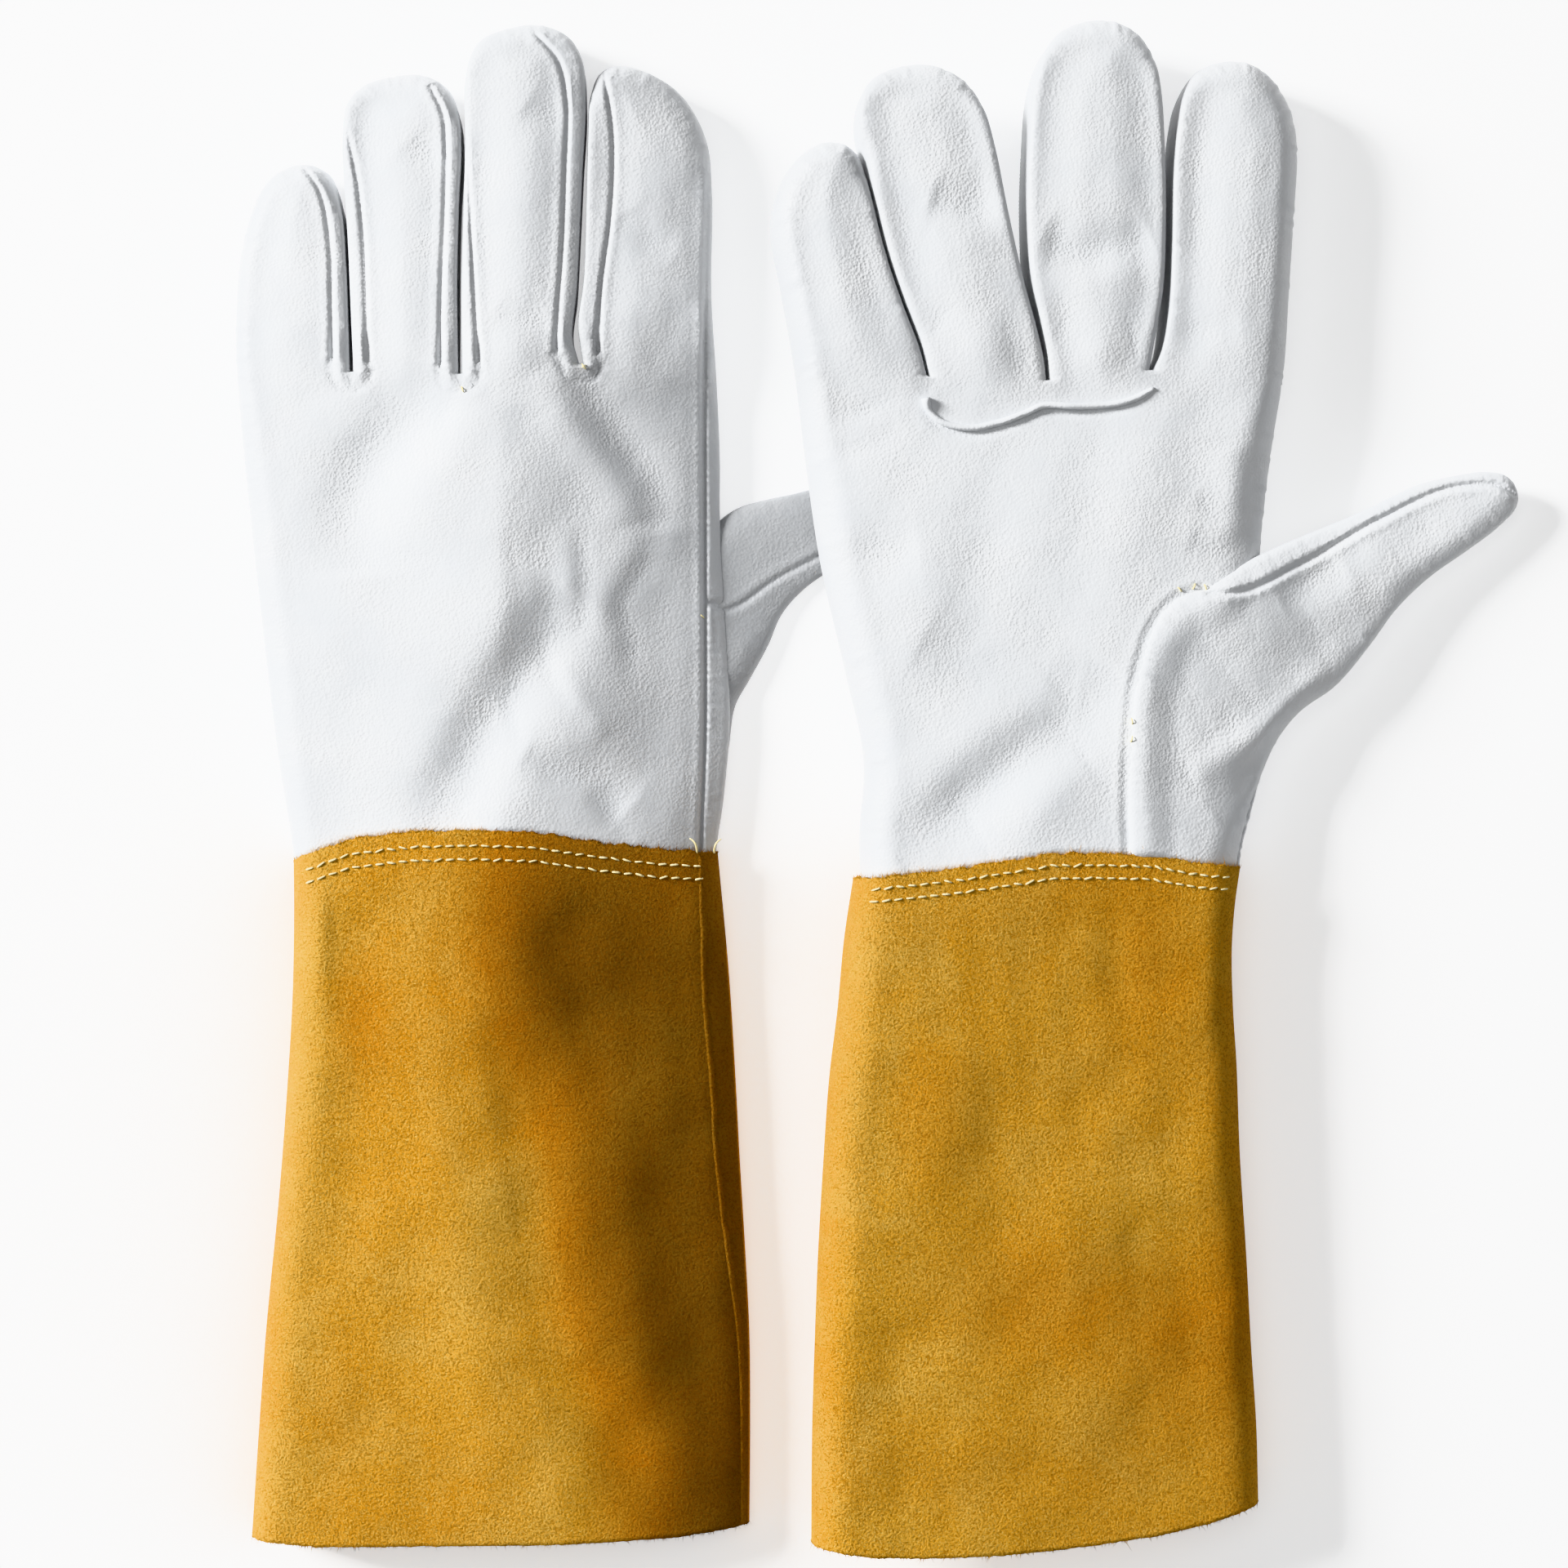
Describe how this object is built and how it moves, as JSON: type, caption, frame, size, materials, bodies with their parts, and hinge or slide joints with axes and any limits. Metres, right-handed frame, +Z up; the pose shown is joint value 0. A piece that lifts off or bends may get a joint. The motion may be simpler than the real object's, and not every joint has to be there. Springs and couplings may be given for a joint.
{
  "type": "pair of welding gloves",
  "caption": "Pair of gauntlet welding gloves with white leather hands, separate finger stalls and long golden suede cuffs.",
  "frame": {"origin": "on the ground, under the middle of the pair's box", "axes": "+X to the thumb side of each laid glove, +Y from the cuffs to the fingertips, +Z up"},
  "size_m": [0.3394, 0.4006, 0.0363],
  "materials": {
    "white_leather": "fine pebbled grain, satin",
    "yellow_suede": "napped split leather, matt",
    "cream_thread": "twisted thread"
  },
  "bodies": {
    "left_hand": {"left_back_panel": "white_leather", "left_palm_panel": "white_leather", "left_thumb_root": "white_leather", "left_finger_base_welt": "white_leather", "left_cuff": "yellow_suede", "left_cuff_seam_welt": "yellow_suede", "left_cuff_stitching": "cream_thread"},
    "left_little": {"left_little_back": "white_leather", "left_little_front": "white_leather", "left_little_inner_fourchette": "white_leather"},
    "left_ring": {"left_ring_back": "white_leather", "left_ring_front": "white_leather", "left_ring_outer_fourchette": "white_leather", "left_ring_inner_fourchette": "white_leather"},
    "left_middle": {"left_middle_back": "white_leather", "left_middle_front": "white_leather", "left_middle_outer_fourchette": "white_leather", "left_middle_inner_fourchette": "white_leather"},
    "left_index": {"left_index_back": "white_leather", "left_index_front": "white_leather", "left_index_inner_fourchette": "white_leather"},
    "left_thumb": {"left_thumb_front": "white_leather", "left_thumb_back": "white_leather"},
    "right_hand": {"right_back_panel": "white_leather", "right_palm_panel": "white_leather", "right_thumb_root": "white_leather", "right_finger_base_welt": "white_leather", "right_cuff": "yellow_suede", "right_cuff_seam_welt": "yellow_suede", "right_cuff_stitching": "cream_thread"},
    "right_little": {"right_little_back": "white_leather", "right_little_front": "white_leather", "right_little_inner_fourchette": "white_leather"},
    "right_ring": {"right_ring_back": "white_leather", "right_ring_front": "white_leather", "right_ring_outer_fourchette": "white_leather", "right_ring_inner_fourchette": "white_leather"},
    "right_middle": {"right_middle_back": "white_leather", "right_middle_front": "white_leather", "right_middle_outer_fourchette": "white_leather", "right_middle_inner_fourchette": "white_leather"},
    "right_index": {"right_index_back": "white_leather", "right_index_front": "white_leather", "right_index_inner_fourchette": "white_leather"},
    "right_thumb": {"right_thumb_front": "white_leather", "right_thumb_back": "white_leather"}
  },
  "joints": [
    {"name": "right_glove_lift", "type": "slide", "parent": "left_hand", "child": "right_hand", "axis": [0, 0, 1], "range_m": [0, 0.12]},
    {"name": "left_little_bend", "type": "hinge", "parent": "left_hand", "child": "left_little", "pos_m": [-0.15493, 0.10482, 0], "axis": [-0.9992, 0.0401, 0], "range_deg": [0, 75]},
    {"name": "left_ring_bend", "type": "hinge", "parent": "left_hand", "child": "left_ring", "pos_m": [-0.12473, 0.10482, 0], "axis": [-0.9999, 0.014, 0], "range_deg": [0, 75]},
    {"name": "left_middle_bend", "type": "hinge", "parent": "left_hand", "child": "left_middle", "pos_m": [-0.09503, 0.10482, 0], "axis": [-0.9995, 0.0314, 0], "range_deg": [0, 75]},
    {"name": "left_index_bend", "type": "hinge", "parent": "left_hand", "child": "left_index", "pos_m": [-0.06163, 0.10482, 0], "axis": [-0.9999, -0.014, 0], "range_deg": [0, 75]},
    {"name": "left_thumb_bend", "type": "hinge", "parent": "left_hand", "child": "left_thumb", "pos_m": [-0.03943, 0.04892, 0], "axis": [-0.165, 0.9863, 0], "range_deg": [0, 45]},
    {"name": "right_little_bend", "type": "hinge", "parent": "right_hand", "child": "right_little", "pos_m": [-0.00569, 0.10432, 0.0344], "axis": [0.9833, 0.1495, -0.1034], "range_deg": [0, 75]},
    {"name": "right_ring_bend", "type": "hinge", "parent": "right_hand", "child": "right_ring", "pos_m": [0.02793, 0.10372, 0.03087], "axis": [0.9746, 0.1994, -0.1024], "range_deg": [0, 75]},
    {"name": "right_middle_bend", "type": "hinge", "parent": "right_hand", "child": "right_middle", "pos_m": [0.05717, 0.10452, 0.0278], "axis": [0.9945, 0.0035, -0.1045], "range_deg": [0, 75]},
    {"name": "right_index_bend", "type": "hinge", "parent": "right_hand", "child": "right_index", "pos_m": [0.08988, 0.10432, 0.02436], "axis": [0.9935, -0.0454, -0.1044], "range_deg": [0, 75]},
    {"name": "right_thumb_bend", "type": "hinge", "parent": "right_hand", "child": "right_thumb", "pos_m": [0.10392, 0.03862, 0.02107], "axis": [0.1212, -0.9925, -0.0127], "range_deg": [0, 45]}
  ]
}
